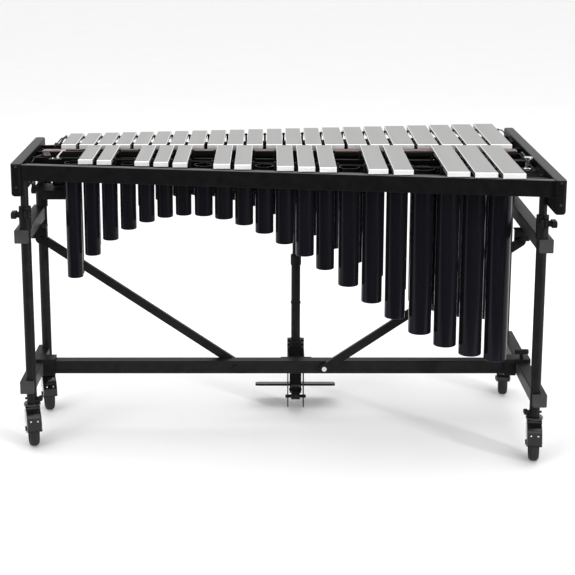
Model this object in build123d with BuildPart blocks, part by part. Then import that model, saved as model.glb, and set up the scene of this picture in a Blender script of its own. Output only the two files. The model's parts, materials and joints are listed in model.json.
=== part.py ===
from build123d import *
import os
from math import atan, cos, degrees, pi, radians, sin, sqrt

# A three octave vibraphone on a rolling frame.
# +X is the low end, +Y is the player's side, +Z is up, and the floor is Z = 0. Sizes are in mm.

# ---- Overall sizes ----
frame_width = 1466.0  # outside to outside of the end panels
low_depth = 832.0  # the end panel at the low notes
high_depth = 430.0  # the end panel at the high notes
high_centre_y = 25.0
playing_height = 822.0  # top of the bars with the posts fully down
leg_spread = 1400.0  # between the legs' axes, left to right
floor_gap = 14.0  # under the pedal frame

# ---- Tone bars ----
bar_thickness = 12.7
bar_gap = 10.0
natural_groups = [(7, 41.8), (7, 46.3), (3, 55.0), (5, 60.2)]  # count and width, high to low
accidental_groups = [(5, 39.0), (5, 44.5), (2, 51.7), (3, 59.0)]
naturals_start_x = -626.2  # high edge of the highest natural
gaps_without_accidental = (0, 3)  # F to E and C to B, in each seven gaps going down from the highest F
row_gap = 10.0  # between the two rows
row_line_y = 36.0  # middle of that gap
natural_back_y = 321.3  # back line of the naturals where X = 0
natural_taper = 0.1459  # and its slope
accidental_front_y = -286.7
accidental_taper = -0.1757
node_share = 0.224  # the still point of a bar, as a share of its length
bar_edge = 1.2  # chamfer round a bar's top
undercut_share = 0.42  # length of the tuning arch under a bar
undercut_depth = 6.0
cord_radius = 1.8
cord_hole_clearance = 0.8
cord_eye_clearance = 0.1

# ---- Upper frame ----
panel_thickness = 30.0
panel_height = 93.0
bar_above_panel = 12.0
panel_corner = 14.0
panel_edge = 9.0
fascia_thickness = 19.0
fascia_height = 45.0
fascia_edge = 1.5
fascia_below_bars = 2.5
fascia_lead = 8.0  # how far the fascia stands in front of the accidentals, mid length
rear_rail_height = 38.0
rear_rail_below_bars = 25.3
rear_rail_thickness = 9.5
rear_rail_inset = 16.0  # from the naturals' back line
rail_width = 12.0
rail_height = 30.0
rail_below_bars = 14.3
support_radius = 3.0
support_below_top = 2.5

# ---- Resonators ----
tube_groups_front = [(7, 44.5), (7, 50.8), (3, 57.2), (4, 64.0)]  # count and outside diameter
tube_groups_rear = [(7, 44.5), (7, 50.8), (3, 57.2), (5, 64.0)]
tube_wall = 1.6
tube_top_drop = 17.0  # below the underside of the bars
arch_peak_x = -240.0
arch_peak_z = 651.0
arch_high_radius = 400.0
arch_low_drop = 400.0
arch_low_run = 880.0
plug_depth = 4.0
plug_edge = 2.6
hanger_thickness = 6.0
hanger_set_out = 0.3  # from the tubes' outer line to the middle of a strip
hanger_end = 8.0  # past the outer tubes
hanger_tab = 14.0
hanger_tab_thickness = 3.0
hanger_height = 22.0
hanger_drop = 16.0  # from the top of a tube to the top of its hanger strip
fan_drop = 40.0  # from the top of a tube to the fan shaft
fan_shaft_radius = 3.0
fan_shaft_fit = 0.1
fan_gap = 1.6  # between a fan disc and its tube
fan_thickness = 1.4

# ---- Lower frame ----
low_leg_front_y = -277.0
low_leg_rear_y = 252.0
high_leg_front_y = -170.0
high_leg_rear_y = 116.0
leg_radius = 14.3
leg_wall = 2.0
post_radius = 11.1
post_wall = 2.0
post_fit = 0.1
post_depth = 285.0  # how far a post reaches down below the top of its collar
crossbar_size = 38.0
crossbar_wall = 2.5
crossbar_offset = 9.5  # outward from the legs' axes
crossbar_overhang = 20.0  # past the legs' axes
crossbar_cap = 3.0
upper_bar_z = 587.0  # underside
lower_bar_z = 152.0
leg_bottom = 120.0
collar_radius = 17.0
collar_height = 62.0
collar_grip = 18.0  # the part of a collar that holds the post
brace_foot_x = 130.0
brace_head_x = 690.0
brace_head_drop = 36.0
brace_width = 24.0
brace_thickness = 12.0
socket_wall = 4.0
socket_fit = 0.2
socket_length = 34.0
bolt_radius = 3.9
bolt_fit = 0.1
bolt_head = 7.0
bolt_head_height = 4.5
nut_radius = 6.5
nut_height = 5.0

# ---- Clamp knobs ----
knob_screw_radius = 3.1
knob_screw_fit = 0.1
knob_length = 38.0
knob_height = 20.0
knob_depth = 13.0

# ---- Casters ----
wheel_radius = 50.0
wheel_width = 28.0
tyre_thickness = 11.0
caster_trail = 18.0
tyre_edge = 10.0
axle_radius = 4.0
axle_fit = 0.1
brake_pivot = (caster_trail - 46.0, 84.0)  # along the trail, and height
brake_length = 24.0
brake_thickness = 5.0
hood_thickness = 4.0
hood_gap = 2.5
swivel_gap = 0.4
head_radius = 23.5
head_height = 8.0
caster_yaw = {"high_front": 14.0, "high_rear": 14.0, "low_front": -8.0, "low_rear": -8.0}

# ---- Damper and pedal ----
damper_width = 28.0
felt_thickness = 5.0
felt_gap = 0.3
damper_bar_height = 12.0
damper_end_gap = 24.0
tower_x = 49.0
tower_y = 120.0
tower_radius = 13.5
rod_radius = 10.4
rod_fit = 0.3
tower_top = 446.0
tower_collar_height = 31.0
pedal_pivot_y = 84.0
pedal_pivot_z = 45.0
pedal_pin_z = 54.0
pedal_width = 243.0
pedal_near_y = 134.0
pedal_near_z = 66.0
pedal_far_y = 210.0
pedal_far_z = 46.0
pedal_thickness = 6.0
pedal_plate_gap = 49.6  # between the outer faces of the pedal frame's side plates
side_plate = 3.0

# ---- Worked out from the sizes above ----
bar_bottom = playing_height - bar_thickness
cord_z = bar_bottom + bar_thickness / 2
panel_top = playing_height - bar_above_panel
panel_inner_x = frame_width / 2 - panel_thickness
leg_x = leg_spread / 2
fascia_top = bar_bottom - fascia_below_bars
rail_top = bar_bottom - rail_below_bars
tube_top = bar_bottom - tube_top_drop
fan_z = tube_top - fan_drop
upper_bar_top = upper_bar_z + crossbar_size
lower_bar_top = lower_bar_z + crossbar_size
beam_mid_z = lower_bar_z + crossbar_size / 2
collar_top = upper_bar_top + collar_height
natural_front_y = row_line_y + row_gap / 2
accidental_back_y = row_line_y - row_gap / 2
legs = {
    "high_front": (-leg_x, high_leg_front_y, -1),
    "high_rear": (-leg_x, high_leg_rear_y, 1),
    "low_front": (leg_x, low_leg_front_y, -1),
    "low_rear": (leg_x, low_leg_rear_y, 1),
}


def natural_back(x):
    return natural_back_y + natural_taper * x


def accidental_front(x):
    return accidental_front_y + accidental_taper * x


def spread(groups):
    """The sizes of a row of pieces, one for each, from its groups."""
    return [size for count, size in groups for _ in range(count)]


natural_widths = spread(natural_groups)
natural_x = []
edge_x = naturals_start_x
for width in natural_widths:
    natural_x.append(edge_x + width / 2)
    edge_x += width + bar_gap
gap_x = [x + width / 2 + bar_gap / 2 for x, width in zip(natural_x[:-1], natural_widths[:-1])]
accidental_x = [x for k, x in enumerate(gap_x) if k % 7 not in gaps_without_accidental]
accidental_widths = spread(accidental_groups)


def node_lines(front, back):
    """The front and back still lines of a row, as functions of X."""

    def front_line(x):
        return front(x) + node_share * (back(x) - front(x))

    def back_line(x):
        return back(x) - node_share * (back(x) - front(x))

    return front_line, back_line


natural_nodes = node_lines(lambda x: natural_front_y, natural_back)
accidental_nodes = node_lines(accidental_front, lambda x: accidental_back_y)


def slope_of(line):
    return line(1.0) - line(0.0)


def arch(x):
    """Height of the resonators' lower ends along the frame."""
    run = x - arch_peak_x
    if run < 0:
        return arch_peak_z - arch_high_radius + sqrt(arch_high_radius**2 - run**2)
    return arch_peak_z - arch_low_drop * (1 - cos(pi * run / arch_low_run)) / 2


def mid_accidental(x):
    return (accidental_front(x) + accidental_back_y) / 2


def mid_natural(x):
    return (natural_front_y + natural_back(x)) / 2


def save(part, name):
    part.label = name
    export_step(part, f"parts/{name}.step")


def along_line(line, x, z):
    """A plane at X = x whose normal follows a slanted line of the frame."""
    return Plane(origin=(x, line(x), z), x_dir=(0, 0, 1), z_dir=(1, slope_of(line), 0))


def slanted_beam(line, thickness, low_z, high_z, half_length):
    """A straight rail centred on a slanted line, cut square to the frame at its ends."""
    ends = [(x, line(x)) for x in (-half_length, half_length)]
    corners = [(x, y - thickness / 2) for x, y in ends] + [(x, y + thickness / 2) for x, y in reversed(ends)]
    with BuildPart() as beam:
        with BuildSketch(Plane.XY.offset(low_z)):
            with BuildLine():
                Polyline(*corners, close=True)
            make_face()
        extrude(amount=high_z - low_z)
    return beam.part


def tone_bar(x, width, front, back, nodes):
    """One bar, with its cord holes and the tuning arch below."""
    half_arch = (back - front) * undercut_share / 2
    mid = (front + back) / 2
    with BuildPart() as bar:
        with BuildSketch(Plane(origin=(x - width / 2, 0, 0), x_dir=(0, 1, 0), z_dir=(1, 0, 0))):
            with BuildLine():
                Line((mid - half_arch, bar_bottom), (front, bar_bottom))
                Line((front, bar_bottom), (front, playing_height))
                Line((front, playing_height), (back, playing_height))
                Line((back, playing_height), (back, bar_bottom))
                Line((back, bar_bottom), (mid + half_arch, bar_bottom))
                ThreePointArc(
                    (mid + half_arch, bar_bottom),
                    (mid, bar_bottom + undercut_depth),
                    (mid - half_arch, bar_bottom),
                )
            make_face()
        extrude(amount=width)
        chamfer(bar.faces().sort_by(Axis.Z)[-1].edges(), bar_edge)
        for line in nodes:
            with BuildSketch(along_line(line, x, cord_z).offset(-width)):
                Circle(cord_radius + cord_hole_clearance)
            extrude(amount=2 * width, mode=Mode.SUBTRACT)
    return bar.part


def support_places(xs, widths):
    """Where the cord supports stand: half a gap beside each bar, and one only between close neighbours."""
    places = [xs[0] - widths[0] / 2 - bar_gap / 2]
    for i in range(len(xs) - 1):
        left = xs[i] + widths[i] / 2
        right = xs[i + 1] - widths[i + 1] / 2
        if right - left < 2.5 * bar_gap:
            places.append((left + right) / 2)
        else:
            places.append(left + bar_gap / 2)
            places.append(right - bar_gap / 2)
    places.append(xs[-1] + widths[-1] / 2 + bar_gap / 2)
    return places


def cord_support(line, x):
    """A post that stands on a bar rail and holds the cord in its eye."""
    with BuildPart() as support:
        with BuildSketch(Plane(origin=(x, line(x), rail_top))):
            Circle(support_radius)
        extrude(amount=playing_height - support_below_top - rail_top)
        with BuildSketch(along_line(line, x, cord_z).offset(-2 * support_radius)):
            Circle(cord_radius + cord_eye_clearance)
        extrude(amount=4 * support_radius, mode=Mode.SUBTRACT)
    return support.part


def resonator(line, x, diameter):
    """One tube, closed by a plug at the bottom, with holes for the fan shaft."""
    height = tube_top - arch(x)
    with BuildPart() as tube:
        with BuildSketch(Plane(origin=(x, line(x), arch(x)))):
            Circle(diameter / 2)
        extrude(amount=height)
        fillet(tube.faces().sort_by(Axis.Z)[0].edges(), plug_edge)
        with BuildSketch(Plane(origin=(x, line(x), arch(x) + plug_depth))):
            Circle(diameter / 2 - tube_wall)
        extrude(amount=height, mode=Mode.SUBTRACT)
        with BuildSketch(along_line(line, x, fan_z).offset(-diameter)):
            Circle(fan_shaft_radius + fan_shaft_fit)
        extrude(amount=2 * diameter, mode=Mode.SUBTRACT)
    return tube.part


def hanger_strips(line, xs, diameters, rails):
    """The two strips that a bank's tubes hang between, and the tabs that reach from them to the bar rails."""
    top = tube_top - hanger_drop
    start = xs[0] - diameters[0] / 2 - hanger_end
    end = xs[-1] + diameters[-1] / 2 + hanger_end
    growth = (diameters[-1] - diameters[0]) / 2 / (xs[-1] - xs[0])
    tab_z = rail_top - rail_height - hanger_tab_thickness
    pieces = []
    for side, rail in zip((-1, 1), rails):

        def strip_line(x):
            return line(x) + side * (diameters[0] / 2 + growth * (x - xs[0]) + hanger_set_out)

        ends = [(x, strip_line(x)) for x in (start, end)]
        corners = [(x, y - hanger_thickness / 2) for x, y in ends]
        corners += [(x, y + hanger_thickness / 2) for x, y in reversed(ends)]
        with BuildPart() as strip:
            with BuildSketch(Plane.XY.offset(top - hanger_height)):
                with BuildLine():
                    Polyline(*corners, close=True)
                make_face()
            extrude(amount=hanger_height)
            # Notches that the tubes sit in.
            with BuildSketch(Plane.XY.offset(top - hanger_height - 1)):
                for x, diameter in zip(xs, diameters):
                    with Locations((x, line(x))):
                        Circle(diameter / 2)
            extrude(amount=hanger_height + 2, mode=Mode.SUBTRACT)
        pieces += strip.part.solids()
        slope = slope_of(strip_line)
        for x in (start + hanger_tab, start + 0.42 * (end - start), end - hanger_tab):
            outer = rail(x)
            near_end = strip_line(x - hanger_tab / 2) + side * hanger_thickness / 2
            far_end = near_end + slope * hanger_tab
            with BuildPart() as tab:
                with BuildSketch(Plane.XY.offset(tab_z)):
                    with BuildLine():
                        Polyline(
                            (x - hanger_tab / 2, near_end),
                            (x + hanger_tab / 2, far_end),
                            (x + hanger_tab / 2, outer),
                            (x - hanger_tab / 2, outer),
                            close=True,
                        )
                    make_face()
                extrude(amount=hanger_tab_thickness)
            pieces += tab.part.solids()
    return pieces


def fan_row(line, xs, diameters, pulley_x, pulley_radius, pulley_width):
    """A bank's shaft, with a disc in each sounding tube and the pulley at the high end."""
    length = (xs[-1] + diameters[-1] / 2 + 6 - pulley_x + pulley_width) * sqrt(1 + slope_of(line) ** 2)
    with BuildPart() as row:
        with BuildSketch(along_line(line, pulley_x - pulley_width, fan_z)):
            Circle(fan_shaft_radius)
        extrude(amount=length)
        with BuildSketch(along_line(line, pulley_x - pulley_width / 2, fan_z)):
            Circle(pulley_radius)
        extrude(amount=pulley_width)
        for x, diameter in zip(xs, diameters):
            with BuildSketch(Plane(origin=(x, line(x), fan_z - fan_thickness / 2))):
                Circle(diameter / 2 - tube_wall - fan_gap)
            extrude(amount=fan_thickness)
    return row.part


os.makedirs("parts", exist_ok=True)

# ======== Tone bars, cords and supports ========

with BuildPart() as natural_bars:
    add(
        [
            tone_bar(x, width, natural_front_y, natural_back(x), natural_nodes)
            for x, width in zip(natural_x, natural_widths)
        ]
    )
save(natural_bars.part, "natural_bars")

with BuildPart() as accidental_bars:
    add(
        [
            tone_bar(x, width, accidental_front(x), accidental_back_y, accidental_nodes)
            for x, width in zip(accidental_x, accidental_widths)
        ]
    )
save(accidental_bars.part, "accidental_bars")

# Each row hangs on one loop of cord. It crosses over beyond the row's two ends.
cord_loops = {
    "naturals": (natural_nodes, -646.0, 683.0),
    "accidentals": (accidental_nodes, -614.0, 668.0),
}
cord_bend = 9.0
with BuildPart() as bar_cords:
    for (front_line, back_line), high_x, low_x in cord_loops.values():
        corners = [
            (high_x, front_line(high_x)),
            (low_x, front_line(low_x)),
            (low_x, back_line(low_x)),
            (high_x, back_line(high_x)),
        ]
        with BuildLine(Plane.XY.offset(cord_z)) as route:
            FilletPolyline(*corners, radius=cord_bend, close=True)
        with BuildSketch(Plane(origin=route.line @ 0, z_dir=route.line % 0)):
            Circle(cord_radius)
        sweep(path=route.line)
save(bar_cords.part, "bar_cords")

with BuildPart() as bar_supports:
    for xs, widths, lines in (
        (natural_x, natural_widths, natural_nodes),
        (accidental_x, accidental_widths, accidental_nodes),
    ):
        add([cord_support(line, x) for x in support_places(xs, widths) for line in lines])
save(bar_supports.part, "bar_supports")

# ======== Upper frame ========

bridge_x = (-570.0, 20.0, 600.0)
bridge_width = 26.0
bridge_thickness = 5.0
rail_bottom = rail_top - rail_height
with BuildPart() as rails:
    add(
        [
            slanted_beam(line, rail_width, rail_bottom, rail_top, panel_inner_x)
            for line in (*natural_nodes, *accidental_nodes)
        ]
    )
# Flat bridges tie the two inner rails together and carry the damper's springs.
with BuildPart() as bridges:
    for x in bridge_x:
        near = accidental_nodes[1](x) - rail_width / 2
        far = natural_nodes[0](x) + rail_width / 2
        with BuildSketch(Plane(origin=(x, (near + far) / 2, rail_bottom - bridge_thickness))):
            Rectangle(bridge_width, far - near)
        extrude(amount=bridge_thickness)
save(Compound(children=[*rails.part.solids(), *bridges.part.solids()]), "bar_rails")


def fascia_line(x):
    return accidental_front_y - fascia_lead + fascia_thickness / 2 + fascia_slope * x


fascia_slope = -0.154
with BuildPart() as front_rail:
    add(slanted_beam(fascia_line, fascia_thickness, fascia_top - fascia_height, fascia_top, panel_inner_x))
    chamfer(front_rail.edges().sort_by(SortBy.LENGTH)[-4:], fascia_edge)
    # Clears the high front post.
    with BuildSketch(Plane(origin=(-leg_x, high_leg_front_y, fascia_top - fascia_height - 1))):
        Circle(post_radius + post_fit)
    extrude(amount=fascia_height + 2, mode=Mode.SUBTRACT)
save(front_rail.part, "front_rail")


def rear_line(x):
    return natural_back(x) - rear_rail_inset - rear_rail_thickness / 2


rear_rail_top = bar_bottom - rear_rail_below_bars
with BuildPart() as rear_rail:
    add(
        slanted_beam(
            rear_line, rear_rail_thickness, rear_rail_top - rear_rail_height, rear_rail_top, panel_inner_x
        )
    )
save(rear_rail.part, "rear_rail")

end_panels = {
    "low": (1, low_depth, 0.0, low_leg_front_y, low_leg_rear_y),
    "high": (-1, high_depth, high_centre_y, high_leg_front_y, high_leg_rear_y),
}
post_top = panel_top - 14.0
for end, (side, depth, centre_y, front_leg_y, rear_leg_y) in end_panels.items():
    with BuildPart() as end_panel:
        middle_x = side * (frame_width - panel_thickness) / 2
        with BuildSketch(Plane(origin=(middle_x, centre_y, panel_top - panel_height))):
            RectangleRounded(panel_thickness, depth, panel_corner * 0.7)
        extrude(amount=panel_height)
        top_and_bottom = end_panel.faces().filter_by(Axis.Z)
        fillet(top_and_bottom.sort_by(Axis.Z)[-1].edges(), panel_edge / 2)
        fillet(end_panel.faces().filter_by(Axis.Z).sort_by(Axis.Z)[0].edges(), panel_edge)
        # Channels for the two posts.
        for leg_y in (front_leg_y, rear_leg_y):
            with BuildSketch(Plane(origin=(side * leg_x, leg_y, panel_top - panel_height - 1))):
                Circle(post_radius + post_fit)
            extrude(amount=post_top - panel_top + panel_height + 1, mode=Mode.SUBTRACT)
    save(end_panel.part, f"end_panel_{end}")

screw_head_radius = 3.6
screw_head_height = 1.8
screw_rows = (panel_top - 8.0, panel_top - 66.0)
with BuildPart() as panel_screws:
    for side, depth, centre_y, front_leg_y, rear_leg_y in end_panels.values():
        middle_x = side * (frame_width - panel_thickness) / 2
        for face in (-1, 1):
            face_y = centre_y + face * depth / 2
            for z in screw_rows:
                with BuildSketch(Plane(origin=(middle_x, face_y, z), x_dir=(1, 0, 0), z_dir=(0, face, 0))):
                    Circle(screw_head_radius)
                extrude(amount=screw_head_height)
                head_y = face_y + face * screw_head_height
                with BuildSketch(Plane(origin=(middle_x, head_y, z), x_dir=(1, 0, 0), z_dir=(0, face, 0))):
                    RegularPolygon(screw_head_radius / 2, 6)
                extrude(amount=-screw_head_height / 2, mode=Mode.SUBTRACT)
save(panel_screws.part, "panel_screws")

with BuildPart() as height_posts:
    for x, y, face in legs.values():
        with BuildSketch(Plane(origin=(x, y, collar_top - post_depth))):
            Circle(post_radius)
            Circle(post_radius - post_wall, mode=Mode.SUBTRACT)
        extrude(amount=post_top - collar_top + post_depth)
save(height_posts.part, "height_posts")

# A turned spool stands on a small foot in the bay at the low end.
spool_x = panel_inner_x - 18.5
spool_y = -120.0
spool_flange = 12.5
spool_waist = 8.0
spool_foot = 4.0
spool_foot_width = 30.0
spool_bottom = rail_top - rail_height / 2
with BuildPart() as cord_spool:
    with BuildSketch(Plane(origin=(spool_x, spool_y, 0), x_dir=(1, 0, 0), z_dir=(0, -1, 0))):
        with BuildLine():
            Polyline(
                (0, spool_bottom),
                (spool_flange, spool_bottom),
                (spool_flange, spool_bottom + 3),
                (spool_waist, spool_bottom + 6),
                (spool_waist, playing_height - 12),
                (spool_flange, playing_height - 10),
                (spool_flange, playing_height - 7),
                (0, playing_height - 7),
                close=True,
            )
        make_face()
    revolve(axis=Axis((spool_x, spool_y, 0), (0, 0, 1)))
    # Its foot is bolted to the end panel.
    foot_start = spool_x - spool_flange
    with BuildSketch(Plane(origin=((foot_start + panel_inner_x) / 2, spool_y, spool_bottom - spool_foot))):
        Rectangle(panel_inner_x - foot_start, spool_foot_width)
    extrude(amount=spool_foot)
save(cord_spool.part, "cord_spool")

# ======== Resonators and their fans ========

front_diameters = spread(tube_groups_front)
rear_diameters = spread(tube_groups_rear)
sounding = [x in accidental_x for x in gap_x]

with BuildPart() as front_resonators:
    add([resonator(mid_accidental, x, diameter) for x, diameter in zip(gap_x, front_diameters)])
save(front_resonators.part, "front_resonators")

with BuildPart() as rear_resonators:
    add([resonator(mid_natural, x, diameter) for x, diameter in zip(natural_x, rear_diameters)])
save(rear_resonators.part, "rear_resonators")

resonator_hangers = hanger_strips(mid_accidental, gap_x, front_diameters, accidental_nodes)
resonator_hangers += hanger_strips(mid_natural, natural_x, rear_diameters, natural_nodes)
save(Compound(children=resonator_hangers), "resonator_hangers")

front_pulley_x = -669.0
rear_pulley_x = -659.0
pulley_width = 7.0
fan_pulley_radius = 15.0
front_sounding_x = [x for x, used in zip(gap_x, sounding) if used]
front_sounding_d = [d for d, used in zip(front_diameters, sounding) if used]
with BuildPart() as front_fans:
    add(
        fan_row(
            mid_accidental, front_sounding_x, front_sounding_d, front_pulley_x, fan_pulley_radius, pulley_width
        )
    )
save(front_fans.part, "front_fans")
with BuildPart() as rear_fans:
    add(fan_row(mid_natural, natural_x, rear_diameters, rear_pulley_x, fan_pulley_radius, pulley_width))
save(rear_fans.part, "rear_fans")

# ======== Motor, belts and control box ========

motor_y = 15.0
motor_z = 724.0
motor_radius = 19.0
motor_high_x = -648.0
motor_length = 52.0
motor_pulley_radius = 9.0
motor_shaft_radius = 2.5
tray_z = 702.0
tray_thickness = 2.0
box_depth = 110.0
box_height = 24.0
box_low_x = -592.0
box_face_y = motor_y + box_depth / 2
box_mid_z = tray_z - box_height / 2
with BuildPart() as motor:
    with BuildSketch(Plane(origin=(motor_high_x, motor_y, motor_z), x_dir=(0, 1, 0), z_dir=(1, 0, 0))):
        Circle(motor_radius)
    extrude(amount=motor_length)
    fillet(motor.edges().filter_by(GeomType.CIRCLE), 2)
    with BuildSketch(Plane(origin=(motor_high_x, motor_y, motor_z), x_dir=(0, 1, 0), z_dir=(-1, 0, 0))):
        Circle(7)
    extrude(amount=3)
    with BuildSketch(Plane(origin=(motor_high_x + motor_length / 2, motor_y, tray_z + tray_thickness))):
        Rectangle(motor_length * 0.6, motor_radius)
    extrude(amount=motor_z - tray_z - motor_radius / 2)
    with BuildSketch(Plane(origin=(motor_high_x - 4, motor_y, motor_z), x_dir=(0, 1, 0), z_dir=(1, 0, 0))):
        Circle(motor_shaft_radius + 0.3)
    extrude(amount=12, mode=Mode.SUBTRACT)
save(motor.part, "motor")

with BuildPart() as motor_pulley:
    shaft_end = motor_high_x + 6
    pulley_start = front_pulley_x - pulley_width / 2 - 2
    with BuildSketch(Plane(origin=(pulley_start, motor_y, motor_z), x_dir=(0, 1, 0), z_dir=(1, 0, 0))):
        Circle(motor_shaft_radius)
    extrude(amount=shaft_end - pulley_start)
    with BuildSketch(Plane(origin=(pulley_start, motor_y, motor_z), x_dir=(0, 1, 0), z_dir=(1, 0, 0))):
        Circle(motor_pulley_radius)
    extrude(amount=rear_pulley_x + pulley_width / 2 + 2 - pulley_start)
save(motor_pulley.part, "motor_pulley")

belt_thickness = 1.6
belt_width = 3.0
belt_gap = 0.35


def belt(line, pulley_x):
    """A flat belt round the motor pulley and a fan pulley, a little clear of both."""
    fan_y = line(pulley_x)
    large = fan_pulley_radius + belt_gap + belt_width * abs(slope_of(line))
    small = motor_pulley_radius + belt_gap
    view = Plane(origin=(pulley_x - belt_width / 2, 0, 0), x_dir=(0, 1, 0), z_dir=(1, 0, 0))
    with BuildPart() as loop:
        for grow, mode in ((belt_thickness, Mode.ADD), (0.0, Mode.SUBTRACT)):
            with BuildSketch(view):
                with Locations((motor_y, motor_z)):
                    Circle(small + grow)
                with Locations((fan_y, fan_z)):
                    Circle(large + grow)
                make_hull()
            extrude(amount=belt_width, mode=mode)
    return loop.part


with BuildPart() as drive_belts:
    add(belt(mid_accidental, front_pulley_x))
    add(belt(mid_natural, rear_pulley_x))
save(drive_belts.part, "drive_belts")

with BuildPart() as control_box:
    tray_length = box_low_x + panel_inner_x
    tray_mid_x = (box_low_x - panel_inner_x) / 2
    with BuildSketch(Plane(origin=(tray_mid_x, motor_y, tray_z))):
        Rectangle(tray_length, box_depth)
    extrude(amount=tray_thickness)
    with BuildSketch(Plane(origin=(tray_mid_x + 8, motor_y, tray_z - box_height))):
        RectangleRounded(tray_length - 16, box_depth, 3)
    extrude(amount=box_height)
    # The flange bolts to the inside of the high end panel.
    with BuildSketch(Plane(origin=(-panel_inner_x + 1, motor_y - 20, tray_z))):
        Rectangle(2, box_depth - 50)
    extrude(amount=48)
    # Mains inlet, open towards the player's side.
    inlet = Plane(origin=(tray_mid_x + 30, box_face_y, box_mid_z), x_dir=(1, 0, 0), z_dir=(0, 1, 0))
    with BuildSketch(inlet):
        Rectangle(28, 18)
    extrude(amount=-14, mode=Mode.SUBTRACT)
    with BuildSketch(inlet):
        with Locations((-7, -2), (0, 3), (7, -2)):
            Rectangle(2, 4)
    extrude(amount=-14)
save(control_box.part, "control_box")

knob_x = -660.0
with BuildPart() as speed_knob:
    with BuildSketch(Plane(origin=(knob_x, box_face_y + 0.5, box_mid_z), x_dir=(1, 0, 0), z_dir=(0, 1, 0))):
        Circle(9)
    extrude(amount=13)
    chamfer(speed_knob.faces().sort_by(Axis.Y)[-1].edges(), 1.5)
    mark = Plane(origin=(knob_x, box_face_y + 13.5, box_mid_z + 6), x_dir=(1, 0, 0), z_dir=(0, 1, 0))
    with BuildSketch(mark):
        Rectangle(1.6, 5)
    extrude(amount=-1, mode=Mode.SUBTRACT)
save(speed_knob.part, "speed_knob")

# ======== Damper ========

damper_high_x = -panel_inner_x + damper_end_gap
damper_low_x = panel_inner_x - damper_end_gap
felt_top = bar_bottom - felt_gap
felt_bottom = felt_top - felt_thickness
damper_bottom = felt_bottom - damper_bar_height
damper_length = damper_low_x - damper_high_x
with BuildPart() as damper_felt:
    with BuildSketch(Plane(origin=(0, row_line_y, felt_bottom))):
        Rectangle(damper_length, damper_width)
    extrude(amount=felt_thickness)
save(damper_felt.part, "damper_felt")

yoke_width = 20.0
yoke_thickness = 5.0
yoke_z = 728.0
with BuildPart() as damper_bar:
    with BuildSketch(Plane(origin=(0, row_line_y, damper_bottom))):
        Rectangle(damper_length, damper_width)
    extrude(amount=damper_bar_height)
    with BuildSketch(Plane(origin=(0, row_line_y, damper_bottom))):
        Rectangle(damper_length, damper_width - 6)
    extrude(amount=damper_bar_height - 3, mode=Mode.SUBTRACT)
    # The yoke drops from the bar and reaches back to the pull rod.
    with BuildSketch(Plane(origin=(tower_x, 0, 0), x_dir=(0, 1, 0), z_dir=(1, 0, 0))):
        with BuildLine():
            Polyline(
                (row_line_y - 8, damper_bottom + damper_bar_height - 3),
                (row_line_y - 8, yoke_z),
                (tower_y + 12, yoke_z),
                (tower_y + 12, yoke_z + yoke_thickness),
                (row_line_y - 8 + yoke_thickness, yoke_z + yoke_thickness),
                (row_line_y - 8 + yoke_thickness, damper_bottom + damper_bar_height - 3),
                close=True,
            )
        make_face()
    extrude(amount=yoke_width / 2, both=True)
save(damper_bar.part, "damper_bar")

rod_bottom = 250.0
with BuildPart() as damper_rod:
    with BuildSketch(Plane(origin=(tower_x, tower_y, rod_bottom))):
        Circle(rod_radius)
    extrude(amount=yoke_z - rod_bottom)
    with BuildSketch(Plane(origin=(tower_x, tower_y, yoke_z + yoke_thickness))):
        RegularPolygon(7, 6)
    extrude(amount=6)
save(damper_rod.part, "damper_rod")

spring_radius = 8.0
spring_wire = 1.2
spring_turns = 6
spring_seat_gap = 0.1
spring_bottom = rail_bottom
spring_top = damper_bottom + damper_bar_height - 3
with BuildPart() as damper_springs:
    coil_height = spring_top - spring_bottom - 2 * (spring_wire + spring_seat_gap)
    for x in (bridge_x[0], bridge_x[-1]):
        seat = (x, row_line_y, spring_bottom + spring_wire + spring_seat_gap)
        coil = Helix(pitch=coil_height / spring_turns, height=coil_height, radius=spring_radius, center=seat)
        with BuildSketch(Plane(origin=coil @ 0, z_dir=coil % 0)):
            Circle(spring_wire)
        sweep(path=coil, is_frenet=True)
save(damper_springs.part, "damper_springs")

# ======== Lower frame ========

collar_shoulder = collar_top - collar_grip
with BuildPart() as leg_tubes:
    for x, y, face in legs.values():
        with BuildSketch(Plane(origin=(x, y, leg_bottom))):
            Circle(leg_radius)
            Circle(leg_radius - leg_wall, mode=Mode.SUBTRACT)
        extrude(amount=collar_shoulder - leg_bottom)
        # The hole for the caster's clamp screw.
        with BuildSketch(Plane(origin=(x, y, leg_bottom + 12), x_dir=(0, 1, 0), z_dir=(1, 0, 0)).offset(-20)):
            Circle(knob_screw_radius + knob_screw_fit)
        extrude(amount=40, mode=Mode.SUBTRACT)
save(leg_tubes.part, "leg_tubes")

crossbar_places = []
for side, front_y, rear_y in ((-1, high_leg_front_y, high_leg_rear_y), (1, low_leg_front_y, low_leg_rear_y)):
    for z in (upper_bar_z, lower_bar_z):
        crossbar_places.append((side, front_y, rear_y, z))

with BuildPart() as crossbars:
    for side, front_y, rear_y, z in crossbar_places:
        bar_x = side * (leg_x + crossbar_offset)
        length = rear_y - front_y + 2 * crossbar_overhang
        with BuildSketch(
            Plane(
                origin=(bar_x, front_y - crossbar_overhang, z + crossbar_size / 2),
                x_dir=(1, 0, 0),
                z_dir=(0, 1, 0),
            )
        ):
            RectangleRounded(crossbar_size, crossbar_size, 3)
            Rectangle(
                crossbar_size - 2 * crossbar_wall, crossbar_size - 2 * crossbar_wall, mode=Mode.SUBTRACT
            )
        extrude(amount=length)
        for leg_y in (front_y, rear_y):
            with BuildSketch(Plane(origin=(side * leg_x, leg_y, z - 1))):
                Circle(leg_radius)
            extrude(amount=crossbar_size + 2, mode=Mode.SUBTRACT)
save(crossbars.part, "crossbars")

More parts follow.
